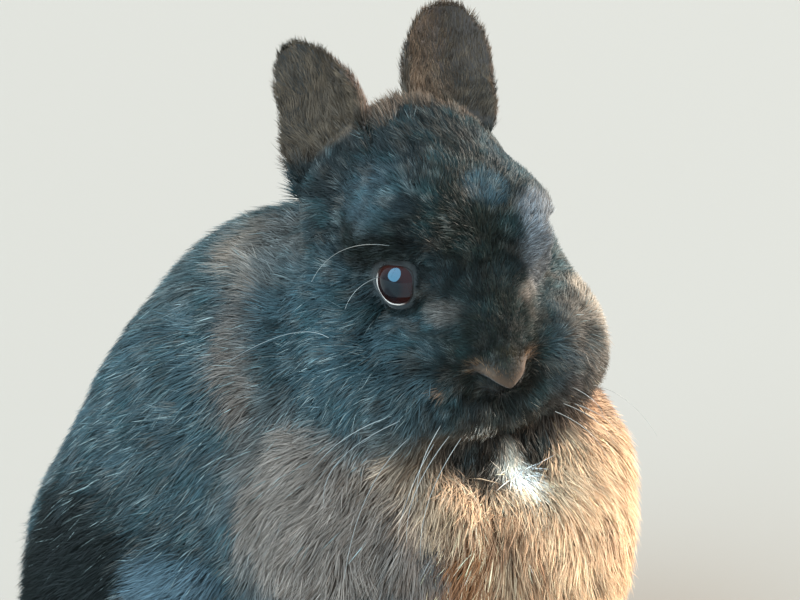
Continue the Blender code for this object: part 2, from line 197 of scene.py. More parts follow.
def newMaterial(name, values):  # a Principled surface and its tree
    material = bpy.data.materials.new(name)
    material.use_nodes = True
    tree = material.node_tree
    shader = tree.nodes["Principled BSDF"]
    for socket, value in values.items():
        shader.inputs[socket].default_value = value
    return material, tree, shader


def colourBy(tree, shader, source, stops):  # the base colour from a value, by a ramp
    node = addNode(tree, "ValToRGB", links={"Fac": source})
    elements = node.color_ramp.elements
    while len(elements) < len(stops):
        elements.new(0.5)
    for element, (place, colour) in zip(elements, stops):
        element.position = place
        element.color = linear(colour)
    tree.links.new(node.outputs["Color"], shader.inputs["Base Color"])


def addNoise(tree, scale, detail):  # in the object's own axes
    place = addNode(tree, "TexCoord")
    return addNode(tree, "TexNoise", values={"Scale": scale, "Detail": detail},
                   links={"Vector": place.outputs["Object"]})


# Camera and light, first because the framing is the photo's

camera = {"azimuth": -57.0, "height": 12.0,  # degrees round the rabbit and above it
          "away": 0.8, "near": 0.01,  # metres
          "lens": 133.0, "aim": (-2.2, 17.0, -7.5)}  # mm, the aim from the middle of the head


def placeCamera():
    azimuth, height = math.radians(camera["azimuth"]), math.radians(camera["height"])
    back = Vector((math.sin(azimuth) * math.cos(height), -math.cos(azimuth) * math.cos(height),
                   math.sin(height)))
    bpy.ops.object.camera_add()
    obj = bpy.context.object
    obj.name = "photoCamera"
    obj.location = headAt + Vector(camera["aim"]) * mm + back * camera["away"]
    obj.rotation_euler = (-back).to_track_quat("-Z", "Y").to_euler()
    obj.data.lens = camera["lens"]
    obj.data.clip_start = camera["near"]
    bpy.context.scene.camera = obj


lights = {  # far soft lamps, so that the floor is evenly lit: way to it, spread (degrees), power, colour
    "skyGlow": ((-0.80, 0.24, 0.50), 60, 7.0, "#c2e0f0"),
    "lowSun": ((0.69, -0.62, 0.50), 14, 9.5, "#fff2e2"),
}
studioAir = {"hex": "#eef2f6", "strength": 0.60}
floorMake = {"wide": 8.0, "hex": "#8f8e8a", "roughness": 0.85}  # metres; pale once lit


def placeLights():
    for name, (toward, spread, power, colour) in lights.items():
        bpy.ops.object.light_add(type="SUN", location=Vector(toward) * 2)
        obj = bpy.context.object
        obj.name = name
        obj.data.angle = math.radians(spread)
        obj.data.energy = power
        obj.data.color = linear(colour)[:3]
        obj.rotation_euler = Vector(toward).to_track_quat("Z", "Y").to_euler()
    world = bpy.data.worlds.new("studioAir")
    bpy.context.scene.world = world
    world.use_nodes = True
    background = world.node_tree.nodes["Background"]
    background.inputs["Color"].default_value = linear(studioAir["hex"])
    background.inputs["Strength"].default_value = studioAir["strength"]
    bpy.context.scene.view_settings.view_transform = "Standard"


def makeFloor():
    deselectAll()
    bpy.ops.mesh.primitive_plane_add(size=floorMake["wide"], location=(0, 0, 0))
    floor = bpy.context.object
    floor.name = "studioFloor"
    material, _, shader = newMaterial("matte painted floor", {"Roughness": floorMake["roughness"]})
    shader.inputs["Base Color"].default_value = linear(floorMake["hex"])
    floor.data.materials.append(material)


placeCamera()
placeLights()
makeFloor()
print("camera, lights and floor placed")

# How the coat lies, how long and how deep it is, by zones of the body

# Each zone: place, the way the hair lies, hair length, coat depth, hair width (mm) and reach. Zones, and
# the marks below, are on both sides when x isn't 0, except those that say "alone".
bodyZones = [  # world axes, mm
    ((0, -14, 144), (0, 1.0, -0.1), 10, 4.2, 0.42, 24),
    ((0, 22, 133), (0, 1.0, -0.3), 11, 4.5, 0.45, 28),
    ((0, 60, 105), (0, 0.9, -0.7), 12, 5.0, 0.45, 30),
    ((0, 88, 55), (0, 0.25, -1.0), 12, 5.0, 0.45, 26),
    ((44, 8, 95), (0.1, 0.9, -0.6), 11, 4.6, 0.45, 28),
    ((50, 22, 62), (0, 0.75, -0.75), 12, 4.8, 0.45, 26),
    ((40, 70, 60), (-0.2, 0.7, -0.8), 12, 5.0, 0.45, 26),
    ((50, 55, 22), (-0.2, 0.7, -0.5), 11, 4.5, 0.42, 22),
    ((58, 22, 30), (0, 0.75, -0.6), 9, 3.8, 0.40, 20),
    ((54, -8, 30), (0, 0.25, -1.0), 7, 3.0, 0.38, 16),
    ((38, -28, 82), (0.1, 0.55, -0.85), 11, 4.8, 0.45, 26),
    ((46, -36, 50), (0, 0.3, -1.0), 10, 4.2, 0.42, 20),
    ((34, -78, 66), (0.25, 0.1, -1.0), 12, 5.2, 0.45, 24),
    ((0, -96, 60), (0, -0.1, -1.0), 13, 5.5, 0.45, 26),
    ((0, -86, 86), (0, -0.35, -1.0), 13, 5.0, 0.45, 22),
    ((34, -42, 106), (0.2, 0.6, -0.8), 11, 4.6, 0.45, 22),
    ((26, -66, 24), (0.05, -0.1, -1.0), 6, 2.6, 0.36, 16),
    ((22, -82, 8), (0, -1.0, -0.2), 3.6, 1.2, 0.30, 12),
    ((47, -12, 8), (0, -1.0, -0.1), 4.0, 1.3, 0.32, 14),
    ((47, -28, 6), (0, -1.0, -0.2), 3.2, 1.0, 0.30, 10),
    ((47, 26, 5), (0, -1.0, 0), 5, 1.8, 0.34, 14),
    ((0, -20, 8), (0, 1.0, 0), 9, 3.6, 0.42, 24),
    ((0, 40, 2), (0, 1.0, 0), 8, 2.6, 0.42, 24),
    ((0, 96, 26), (0, 0.7, 0.7), 11, 4.6, 0.42, 16),
]
headZones = [  # head axes, mm
    ((0, -32, -13), (0, 0.3, 1.0), 0.9, 0.35, 0.20, 5),
    ((0, -28, -4), (0, 0.6, 0.8), 1.8, 0.7, 0.22, 7),
    ((0, -21, 8), (0, 0.7, 0.7), 2.8, 1.1, 0.25, 10),
    ((12, -21, -2), (0.4, 0.85, -0.3), 2.6, 1.0, 0.25, 9),
    ((11, -6, 26), (0.5, 0.8, -0.1), 3.4, 1.3, 0.27, 11),
    ((0, 2, 31), (0, 1.0, 0.3), 4.4, 1.8, 0.30, 13),
    ((0, 24, 35), (0, 1.0, 0.0), 7.0, 2.8, 0.34, 15),
    ((0, 50, 20), (0, 0.8, -0.6), 9.0, 3.8, 0.40, 18),
    ((23, 5, 24), (0.35, 0.95, 0.05), 4.4, 1.7, 0.30, 11),
    ((17, -13, 9), (0.45, 0.75, 0.3), 1.8, 0.6, 0.22, 6),
    ((19, -14, 14), (0.5, 0.6, 0.6), 3.8, 1.6, 0.24, 5, "alone"),
    ((21, -12, 0), (0.45, 0.8, -0.5), 2.2, 0.8, 0.24, 6),
    ((26, 5, 11), (0.2, 1.0, -0.1), 3.0, 1.1, 0.28, 7),
    ((34, 19, 5), (0.1, 1.0, -0.4), 6.5, 2.8, 0.34, 14),
    ((35, 0, -10), (0.2, 0.85, -0.55), 5.5, 2.3, 0.33, 13),
    ((40, 0, -28), (0.1, 0.7, -0.8), 8.0, 3.4, 0.37, 14),
    ((36, 26, -22), (0, 0.8, -0.6), 9.5, 3.9, 0.39, 16),
    ((20, -12, -42), (0.1, 0.45, -0.9), 7.0, 3.0, 0.36, 12),
    ((29, -24, -23), (0.35, 0.6, -0.7), 4.5, 1.8, 0.30, 9),
    ((14, -31, -21), (0.6, 0.4, -0.6), 2.6, 0.9, 0.24, 8),
    ((6, -31, -27), (0.3, 0.2, -0.9), 3.2, 0.9, 0.24, 6),
    ((0, -31, -38), (0, 0.2, -1.0), 3.8, 1.4, 0.28, 8),
]
earFrames = {  # the way each ear points and its cup faces, in head axes, as in the solids
    "left": {"root": (10.8, 27.5, 17), "along": (0.31, 0.66, 0.69), "cup": (-0.13, -0.63, 0.76)},
    "right": {"root": (-18, 31.5, 14), "along": (0.05, 0.77, 0.63), "cup": (-0.84, -0.26, 0.48)},
}
earCoat = {"sizes": (3.0, 0.55, 0.24, 17.0), "stations": (18, 34)}  # as in the zones, mm up the ear


def sidesOf(at, alone):  # 1 for the place as given, -1 for its mirror image
    return (1, -1) if at[0] and not alone else (1,)


def allZones():
    zones = []
    for onHead, at, lie, long, deep, wide, reach, *alone in (
            [(False, *zone) for zone in bodyZones] + [(True, *zone) for zone in headZones]):
        for side in sidesOf(at, alone):
            place, way = np.array(at, float) * (side, 1, 1), np.array(lie, float) * (side, 1, 1)
            place, way = (fromHead(place), turnHead @ way) if onHead else (place * mm, way)
            zones.append((place, unit(way), long, deep, wide, reach))
    for ear in earFrames.values():
        for station in earCoat["stations"]:
            along = unit(np.array(ear["along"]))
            at = fromHead(np.array(ear["root"]) + along * station)
            zones.append((at, turnHead @ along, *earCoat["sizes"]))
    return zones


zonesInUse = allZones()
zoneBlend = {"fall": 1.6, "base": 1e-9}  # how fast a zone fades, and its share far away


def coatAt(points):  # lie direction and [length, depth, width] in metres for each point
    lie = np.zeros((len(points), 3))
    sizes = np.zeros((len(points), 3))
    weight = np.zeros(len(points))
    for at, way, long, deep, wide, reach in zonesInUse:
        apart = ((points - at) ** 2).sum(1) / (reach * mm) ** 2
        share = np.exp(-zoneBlend["fall"] * apart) + zoneBlend["base"] / (apart + 1.0)
        share = share / reach  # small zones hold their own ground
        lie += share[:, None] * way
        sizes += share[:, None] * np.array([long, deep, wide]) * mm
        weight += share
    return unit(lie), sizes / weight[:, None]


earReach = {"low": (7.0, 14.0), "wide": (23.0, 19.0), "deep": (16.0, 12.0), "middle": 3.0}  # mm


def inEar(points, side):  # how much a point belongs to an ear, and its place in the ear's frame
    ear = earFrames[side]
    along = unit(np.array(ear["along"], float))
    cup = np.array(ear["cup"], float)
    cup = unit(cup - along * (cup @ along))
    across = np.cross(cup, along)
    local = toHead(points) - np.array(ear["root"], float)
    place = np.stack([local @ across, local @ cup, local @ along], 1)
    near = smoothStep(*earReach["low"], place[:, 2]) * smoothStep(*earReach["wide"], np.abs(place[:, 0]))
    return near * smoothStep(*earReach["deep"], np.abs(place[:, 1] + earReach["middle"])), place


def inAnyEar(points):
    return np.maximum(inEar(points, "left")[0], inEar(points, "right")[0])


# The skin: copies of the flesh solids grown together, smoothed, and drawn in under the coat

fleshNodes = ["head", "neck", "torso", "tail", "ear_left", "ear_right"] + [
    f"{limb}_{side}" for limb in ("hind_leg", "hind_foot", "fore_leg", "fore_foot") for side in bothSides]
skinMake = {
    "closeGap": 0.30, "voxel": 0.9, "lidPlug": 0.5,  # mm
    "ease": (0.5, -0.53), "rounds": 6, "passes": 3,  # smoothing there and back, which shrinks nothing
    "fineHair": (2.0, 5.0), "held": 0.25, "earHeld": 0.85,  # mm of hair, and how much form is kept
    "earDepth": 0.15, "clear": 0.25,  # mm under the ears' coat, and above the floor
    "shade": 0.5, "most": 190000}  # darkness under the coat, and the most triangles kept there
eyeOpening = {"axis": (0.87, -0.46, 0.19), "front": (5.6, 1.5), "top": (-0.95, 5.3), "lidThick": 1.0,
              "power": 2.6, "leftFront": 0.62}  # front and top ends, mm forward and up of the middle
lidShape = {"inner": 0.94, "outer": 1.10, "dip": 1.2, "dipFrom": (0.96, 0.88),  # by level, dip in mm
            "rise": (1.05, 1.4), "fade": (1.75, 1.20), "reach": 7}
facingEye = {"least": 0.1, "behind": 9.0}  # past this turn from the eye's axis a point is far outside


def eyeAxes(side):  # forward, up and out of the eye, in world axes
    sign = 1 if side == "left" else -1
    out = headAxes @ Vector((eyeOpening["axis"][0] * sign, *eyeOpening["axis"][1:])).normalized()
    forward = (headAxes @ Vector((0, 0, 1))).cross(out).normalized() * -sign
    return np.array(forward), np.array(out.cross(forward)) * -sign, np.array(out)


def eyeLevel(points, side):  # 1 on the edge of the eye's opening, less inside it, more outside
    forward, up, out = eyeAxes(side)
    apart = points - eyeMiddle[side]
    away = unit(apart)
    ends = np.array([eyeOpening["front"], eyeOpening["top"]])
    flat = np.stack([away @ forward, away @ up], 1) * eyeRadius / mm @ np.linalg.inv(ends)
    if side == "left":  # half closed in front
        flat[:, 0] = np.where(flat[:, 0] > 0, flat[:, 0] / eyeOpening["leftFront"], flat[:, 0])
    power = eyeOpening["power"]
    level = (np.abs(flat) ** power).sum(1) ** (1 / power)
    return np.where(away @ out > facingEye["least"], level, facingEye["behind"]), apart, away


mouthRoute = [(14, -28.4, -32.6), (11.5, -28.2, -33.3), (8.5, -28.1, -33.5), (5.5, -28.3, -33.3),
              (2.5, -28.2, -32.8), (0, -28.0, -32.2)]  # the left half, as for the nose below
lipCleft = [(0, -28.2, -32), (0, -29.6, -28), (0, -30.1, -24), (0, -29.7, -20), (0, -31.2, -17.5)]
nostrilRoute = [(1.0, -31.6, -16.6), (3.2, -31.0, -14.6), (5.6, -29.6, -12.9), (7.8, -28.0, -12.0)]
noseFold = [(0, -32.2, -14.7), (2.6, -31.6, -12.8), (5.2, -30.2, -10.9), (8.0, -28.4, -9.6)]
grooves = {"nostril": (nostrilRoute, 0.9, 1.4),  # route, reach and depth in mm
           "mouth": (mouthRoute, 1.2, 1.3),
           "cleft": (lipCleft, 1.0, 0.8),
           "fold": (noseFold, 1.7, -0.5)}  # stands out


def nearRoute(points, route):  # distance in mm from head points to a line of points
    nearest = np.full(len(points), 1e9)
    for low, high in zip(route[:-1], route[1:]):
        low, high = np.array(low, float), np.array(high, float)
        along = high - low
        share = np.clip((points - low) @ along / (along @ along), 0, 1)
        nearest = np.minimum(nearest, np.linalg.norm(points - low - share[:, None] * along, axis=1))
    return nearest


def folded(local):  # both sides of the head alike
    return np.stack([np.abs(local[:, 0]), local[:, 1], local[:, 2]], 1)


def faceGrooves(points):  # how near to each groove's middle, 0 to 1
    local = folded(toHead(points))
    return {name: np.exp(-(nearRoute(local, route) / reach) ** 2)
            for name, (route, reach, _) in grooves.items()}


def makeSkin():
    skin = copyOfNodes(fleshNodes, "skin")
    applyModifier(skin, "DISPLACE", strength=skinMake["closeGap"] * mm, mid_level=0.0)
    for side in bothSides:  # the eye sockets are filled, and the lids shaped afterwards
        deselectAll()
        bpy.ops.mesh.primitive_uv_sphere_add(segments=48, ring_count=24, location=eyeAt[side],
                                             radius=eyeRadius + skinMake["lidPlug"] * mm)
        bpy.context.object.select_set(True)
        skin.select_set(True)
        bpy.context.view_layer.objects.active = skin
        bpy.ops.object.join()
    applyModifier(skin, "REMESH", mode="VOXEL", voxel_size=skinMake["voxel"] * mm)
    points = verticesOf(skin.data)
    hair = coatAt(points)[1][:, 0] / mm
    fine = smoothStep(*skinMake["fineHair"], hair)  # short coated places keep their form
    held = skinMake["held"]
    weights = (held + (1 - held) * fine) * (1 - skinMake["earHeld"] * inAnyEar(points))
    group = skin.vertex_groups.new(name="soften")
    for index, weight in enumerate(weights.tolist()):
        group.add([index], weight, "REPLACE")
    for factor in skinMake["ease"] * skinMake["rounds"]:
        applyModifier(skin, "SMOOTH", factor=factor, iterations=skinMake["passes"], vertex_group="soften")
    print("skin joined and smoothed,", len(skin.data.vertices), "points")
    return skin


def drawIn(skin):  # moves the skin in by the coat's depth and keeps it above the floor
    points, normals = verticesOf(skin.data), normalsOf(skin.data)
    depth = coatAt(points)[1][:, 1]
    ears = inAnyEar(points)
    depth = (depth + skinMake["closeGap"] * mm) * (1 - ears) + skinMake["earDepth"] * mm * ears
    points = points - normals * depth[:, None]
    points[:, 2] = np.maximum(points[:, 2], skinMake["clear"] * mm)
    moveVertices(skin.data, points)
    applyModifier(skin, "SMOOTH", factor=skinMake["ease"][0], iterations=2, vertex_group="soften")


fineFace = {"at": (0, -28, -22), "reach": (16, 12, 17), "roundEye": 11.5}  # head mm


def refineFace(skin):  # more points round the nose, mouth and eyes
    makeActive(skin)
    points = verticesOf(skin.data)
    wanted = np.linalg.norm((toHead(points) - fineFace["at"]) / fineFace["reach"], axis=1) < 1
    for side in bothSides:
        wanted |= np.linalg.norm(points - eyeMiddle[side], axis=1) < fineFace["roundEye"] * mm
    setMode("EDIT")
    bpy.ops.mesh.select_all(action="DESELECT")
    setMode("OBJECT")
    for index in np.nonzero(wanted)[0].tolist():
        skin.data.vertices[index].select = True
    setMode("EDIT")
    bpy.ops.mesh.select_mode(type="VERT")
    bpy.ops.mesh.subdivide(number_cuts=1, smoothness=0.0)
    bpy.ops.mesh.quads_convert_to_tris()
    setMode("OBJECT")


def shapeFace(skin):  # grooves of nose and mouth, and lids round the eyeballs
    points, normals = verticesOf(skin.data), normalsOf(skin.data)
    near = faceGrooves(points)
    sink = sum(depth * near[name] for name, (_, _, depth) in grooves.items())
    points = points - normals * (sink * mm)[:, None]
    inner, outer, dip = (lidShape[name] for name in ("inner", "outer", "dip"))
    for side in bothSides:
        level, apart, away = eyeLevel(points, side)
        distance = np.linalg.norm(apart, axis=1)
        lid = eyeRadius + eyeOpening["lidThick"] * mm * smoothStep(inner, outer, level)
        lid = np.where(level < inner, eyeRadius - dip * mm * smoothStep(*lidShape["dipFrom"], level), lid)
        grown = lid + (distance - lid) * smoothStep(*lidShape["rise"], level)
        lid = np.where(level > 1.0, np.maximum(lid, grown), lid)
        share = smoothStep(*lidShape["fade"], level) * (distance < eyeRadius + lidShape["reach"] * mm)
        distance = distance * (1 - share) + lid * share
        moved = share > 0
        points[moved] = (eyeMiddle[side] + away * distance[:, None])[moved]
    moveVertices(skin.data, points)


# Markings and painted light (sky sheen, sunlight and shade), the same for skin and coat

coatGround = "#394a4f"  # black fur with a painted sky reflection: blue black, as the sky on black fur
coatLift = 1.02  # scales every mark's colour, painted light too, on skin and coat alike
bodyMarks = [  # soft ellipsoids of colour: place, reach (mm), colour and strength
    ((18, -10, 133), (16, 20, 15), "#bd9f88", 0.85),
    ((36, -9, 112), (12, 10, 24), "#7f6b5e", 0.6),
    ((0, 30, 128), (46, 40, 22), "#48504f", 0.6),
    ((0, -92, 56), (62, 36, 58), "#96633e", 0.9),
    # painted sunlight: the chest lighter on its sunlit left side, over its own brown
    ((10, -90, 62), (34, 36, 34), "#dcbd9b", 0.85, "alone"),
    ((-24, -76, 82), (34, 30, 13), "#c0a284", 0.85, "alone"),
    ((44, -38, 74), (21, 29, 34), "#937f71", 0.62),
    # painted shadow under the chin, on the ruff of its right side
    ((-18, -76, 87), (12, 9, 4), "#3a3026", 0.5, "alone"),
    # the coat's own black with painted shadow: both haunches near black, as in shadow
    ((53, 44, 44), (30, 33, 33), "#060a07", 0.97),
    # painted sky reflection: blue grey sheen low on both flanks
    ((54, 5, 44), (12, 15, 13), "#5b6f79", 0.8),
    ((22, -80, 6), (16, 26, 12), "#3b3430", 0.7),
    ((0, 98, 16), (16, 14, 14), "#6b6460", 0.6),
    ((0, -10, 4), (34, 60, 14), "#4d4540", 0.6),
]
headMarks = [  # the same, in head axes
    ((0, 15, 25), (46, 46, 36), "#161b1b", 0.9),
    ((0, -8, 24), (12, 22, 14), "#1f2620", 0.6),
    ((0, -24, -8), (17, 24, 20), "#171b14", 0.85),
    # painted sky reflection: blue sheen on both cheeks
    ((38, 2, -16), (18, 30, 26), "#2c444b", 0.7),
    # painted shade in the hollow above and behind each eye
    ((25, 0, 17), (11, 12, 10), "#0d120e", 0.9),
    ((15, -18, 3), (8, 6, 3.5), "#77706a", 0.6),
    # painted sky reflection: bluish sheen on both brows
    ((22, 8, 27), (11, 13, 9), "#44565d", 0.5),
    # painted sky reflection: a blue sheen patch on the forehead
    ((6, -5, 28), (6, 6, 5), "#4a6673", 0.45, "alone"),
    ((27, -22, -14), (9, 14, 12), "#6a5f55", 0.7, "alone"),
    # painted sunlight on the left cheek, the side towards the sun
    ((36, -12, -12), (8, 12, 12), "#ada294", 0.75, "alone"),
    ((18, -13, 15), (8, 12, 14), "#90959a", 0.85, "alone"),
    ((-17.5, -28.7, -12.8), (1.8, 2.4, 1.8), "#8d7460", 0.9, "alone"),
    ((6, -31, -26), (5, 4, 6), "#2a261f", 0.7),
    ((0, -32, -9), (7, 5, 5), "#2f2c22", 0.8),
    ((0, -28, -38), (16, 12, 9), "#1c1711", 0.9),
]
marks = [(False, *mark) for mark in bodyMarks] + [(True, *mark) for mark in headMarks]
mottling = [  # soft patches of tone all over the dark coat: size (mm), colour, strength and threshold
    (10, "#2b4a4e", 0.55, 0.10),
    (8, "#6b645c", 0.50, 0.25),
    (6, "#161c19", 0.60, 0.10),
    (5, "#8a9290", 0.35, 0.45),
]
paleHairs = [  # single light hairs among the dark: on the head or not, place, reach, colour and share
    (True, (-6, -31, -29), (5, 6, 5), "#f0e8da", 0.30),
    (True, (5, -31, -27), (6, 7, 6), "#8f877a", 0.08),
    (True, (-34, -8, -18), (14, 26, 20), "#76807f", 0.07),
    (True, (34, -8, -18), (14, 26, 20), "#76807f", 0.07),
    (False, (0, -92, 60), (50, 36, 46), "#e0c09c", 0.18),
    (False, (0, 30, 90), (70, 90, 60), "#7b8684", 0.04),
]
noseSkin = "#84674f"  # bare brown skin along the nose fold
earColours = {"outside": "#27231b", "inside": "#4b3f33", "edge": "#6e5c52", "base": "#66584e"}
whitePatch = {"at": (-14.5, -79.5, 84), "reach": (6.5, 7, 8.5), "hex": "#fff6e4", "seed": 9, "glow": 2.4}
markEdge = {"rough": 0.16, "size": 14, "soft": (1.25, 0.60), "seed": 40}  # how ragged, in mm, how soft
bodyHidden = 0.8  # how much of a body mark the head's own colours hide
headReach = {"whole": ((0, 8, 0), (58.0, 46.0)), "chin": ((0, -24, -29), (22.0, 14.0))}  # head mm
plainPlaces = [((0, -18, 5), (13, 16, 22)), ((26, 0, 16), (11, 11, 11))]  # less mottled: bridge and eye
mottleMake = {"light": (0.16, 0.06), "dark": (0.003, 0.016),  # linear lightness that it fades at
              "plain": 0.8, "head": 0.35, "full": 0.8, "seed": 80}
paleFade = (1.2, 0.6)  # shares of its reach between which a patch of pale hairs thins out
earBands = [  # colour, axis of the ear's frame, where it fades in (mm), and how much on left and right
    ("edge", 0, (-1.0, -7.0), (0.3, 0.8)),
    ("base", 2, (26.0, 10.0), (0.7, 0.7)),
    ("edge", 2, (22.0, 34.0), (0.6, 0.0)),
]
# painted shade in the nostril slits, mouth line and lip cleft, up to much; fold is how much bare nose skin
# shows
grooveShade = {"nostril": 1.0, "mouth": 0.8, "cleft": 0.6, "much": 0.85, "fold": 1.2}


def blend(colour, share, hexColour):  # mixes a hex colour in, in place
    colour += share[:, None] * (rgb(hexColour) - colour)


def markShare(points, at, reach, seed):
    level = np.linalg.norm((points - np.array(at)) / np.array(reach), axis=1)
    level = level + markEdge["rough"] * waves(points * mm, markEdge["size"] * mm, seed, 2)
    return smoothStep(*markEdge["soft"], level)


def whiteShare(points):  # how much a point belongs to the white patch on the throat
    return markShare(points / mm, whitePatch["at"], whitePatch["reach"], whitePatch["seed"])


def nearPlace(local, at, fade):
    return smoothStep(*fade, np.linalg.norm(local - at, axis=1))


def headShare(local):  # 1 on the head, 0 on the body, from head mm
    return np.maximum(*(nearPlace(local, *reach) for reach in headReach.values()))


def earTint(place, side):  # colour of an ear's outside, from places in its own frame
    tint = np.tile(rgb(earColours["outside"]), (len(place), 1))
    for name, axis, fade, much in earBands:
        blend(tint, smoothStep(*fade, place[:, axis]) * much[bothSides.index(side)], earColours[name])
    return tint


def markingsAndPaintedLight(points):  # linear colour of the coat at each point
    local = toHead(points)
    body = points / mm
    inHead = headShare(local)
    colour = np.tile(rgb(coatGround), (len(points), 1))
    for number, (onHead, at, reach, hexColour, much, *alone) in enumerate(marks):
        for side in sidesOf(at, alone):
            place = (at[0] * side, *at[1:])
            share = markShare(local if onHead else body, place, reach, markEdge["seed"] + number) * much
            blend(colour, share * inHead if onHead else share * (1 - inHead * bodyHidden), hexColour)
    calm = (smoothStep(*mottleMake["light"], colour.mean(1))
            * smoothStep(*mottleMake["dark"], colour.mean(1)))
    plain = np.maximum(*(np.exp(-np.linalg.norm((folded(local) - at) / reach, axis=1) ** 2)
                         for at, reach in plainPlaces))
    for number, (size, hexColour, much, above) in enumerate(mottling):
        field = waves(points, size * mm, mottleMake["seed"] + number, 2)
        share = smoothStep(above, mottleMake["full"], field) * much * calm
        share = share * (1 - mottleMake["plain"] * plain)
        blend(colour, share * (1 - mottleMake["head"] * inHead), hexColour)
    for side in bothSides:
        near, place = inEar(points, side)
        colour += near[:, None] * (earTint(place, side) - colour)
    near = faceGrooves(points)
    blend(colour, np.clip(near["fold"] * grooveShade["fold"] - near["nostril"], 0, 1), noseSkin)
    # painted shade: darker in the nostril slits, mouth line and lip cleft
    dark = sum(grooveShade[name] * near[name] for name in ("nostril", "mouth", "cleft"))
    colour *= (1 - np.clip(dark, 0, 1) * grooveShade["much"])[:, None]
    blend(colour, whiteShare(points), whitePatch["hex"])
    return colour * coatLift


def storeColour(mesh, name, colours):
    layer = mesh.color_attributes.new(name, "FLOAT_COLOR", "POINT")
    rgba = np.ones((len(colours), 4), dtype=np.float32)
    rgba[:, :3] = colours
    layer.data.foreach_set("color", rgba.ravel())


def storeValues(mesh, name, values, kind="FLOAT", field="value"):
    layer = mesh.attributes.new(name, kind, "POINT")
    layer.data.foreach_set(field, values.astype(np.float32).ravel())


def skinMaterial():  # dense underfur over skin: soft, matte, broken by fine hair strokes
    material, tree, shader = newMaterial("dense black underfur", {"Roughness": 0.8, "IOR": 1.45})
    shader.inputs["Sheen Weight"].default_value = 0.15
    coatColourNode = addNode(tree, "Attribute", {"attribute_name": "coatColour"})
    strokes = addNoise(tree, 1400.0, 3.0)  # 0.7 mm strokes
    shade = addNode(tree, "MapRange", values={"To Min": 0.35, "To Max": 0.95},
                    links={"Value": strokes.outputs["Fac"]})
    mixed = addNode(tree, "Mix", {"data_type": "RGBA", "blend_type": "MULTIPLY"},
                    {"Factor": 1.0})
    tree.links.new(coatColourNode.outputs["Color"], mixed.inputs["A"])
    tree.links.new(shade.outputs["Result"], mixed.inputs["B"])
    tree.links.new(mixed.outputs["Result"], shader.inputs["Base Color"])
    bump = addNode(tree, "Bump", values={"Strength": 0.5, "Distance": 0.0004},
                   links={"Height": strokes.outputs["Fac"]})
    tree.links.new(bump.outputs["Normal"], shader.inputs["Normal"])
    return material


def furMaterial():  # guard hair: smooth keratin, IOR 1.55, a soft cool gloss along each hair
    material, tree, shader = newMaterial("black rabbit guard hair", {
        "Roughness": 0.5, "IOR": 1.55, "Specular IOR Level": 0.12})
    coatColourNode = addNode(tree, "Attribute", {"attribute_name": "coatColour"})
    tree.links.new(coatColourNode.outputs["Color"], shader.inputs["Base Color"])
    return material


skin = makeSkin()
drawIn(skin)
refineFace(skin)
shapeFace(skin)
skin.data.materials.append(skinMaterial())
storeColour(skin.data, "coatColour", markingsAndPaintedLight(verticesOf(skin.data)) * skinMake["shade"])
makeActive(skin)
bpy.ops.object.shade_smooth()
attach(skin, "root")
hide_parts(*fleshNodes)
print("skin finished,", len(skin.data.polygons), "faces")

# The coat: flat tapered tufts, many thousands, joined into one mesh for each part of the body

coatMake = {"seed": 11, "perArea": 5.2, "headMore": 1.5, "feetMore": 0.3, "shortHair": (9.0, 2.0),
            "headFade": (56.0, 46.0)}  # tufts a square mm, and more where the hair is short, in mm
sparse = [(6, 0.6), (0.8, 0.25)]  # share of the tufts left below each height, mm
bareMake = {"roundEye": 12, "level": 1.10, "nostril": 1.2, "mouth": 0.6, "cleft": 0.4, "fold": 1.3,
            "most": 0.98}  # bare lids, and how bare each groove is
clumpMake = {"cell": 3.0, "seed": 7, "pull": 0.5, "pullFrom": (1.5, 6),  # mm, the pull a share
             "axes": (73856093, 19349663, 83492791), "times": 1103515245, "plus": 12345,
             "mask": 0x7fffffff, "steps": 10007}  # numbers of the hash that scatters the clumps
tuftMake = {"roll": 38.0, "sink": 0.35, "thin": 0.74,  # degrees, mm and share of the zone's hair width
            "stray": ((0.35, 22, 3), (0.30, 9, 4)), "scatter": 0.17,  # strength, size (mm) and seed
            "long": (0.72, 1.18), "high": (0.6, 1.25), "byTone": (0.9, 0.2),
            "stops": (0.0, 0.52, 1.0), "arch": 2.2, "follow": 1.5, "clear": 0.15}
# along: painted shade, each tuft darker at its root inside the coat and lighter at its tip
tuftShade = {"spread": 0.24, "byTone": (0.68, 0.64), "patch": (0.25, 7, 5), "along": (0.42, 0.78)}
bakeMake = {"half": 0.0015, "core": 30, "leaf": 30, "side": 1.2, "margin": 0.01}  # UV, and mm
coatPieces = [  # name and a place near its middle, world mm or head mm
    ("furFace", (0, -16, 0), True), ("furCrown", (0, 26, 26), True),
    ("furCheekLeft", (30, 2, -20), True), ("furCheekRight", (-30, 2, -20), True),
    ("furChest", (0, -86, 60), False), ("furBack", (0, 8, 128), False),
    ("furFlankLeft", (44, -4, 84), False), ("furFlankRight", (-44, -4, 84), False),
    ("furRump", (0, 78, 66), False), ("furHaunchLeft", (50, 34, 34), False),
    ("furHaunchRight", (-50, 34, 34), False), ("furForelegLeft", (32, -52, 36), False),
    ("furForelegRight", (-32, -52, 36), False), ("furUnderside", (0, 0, 6), False),
]


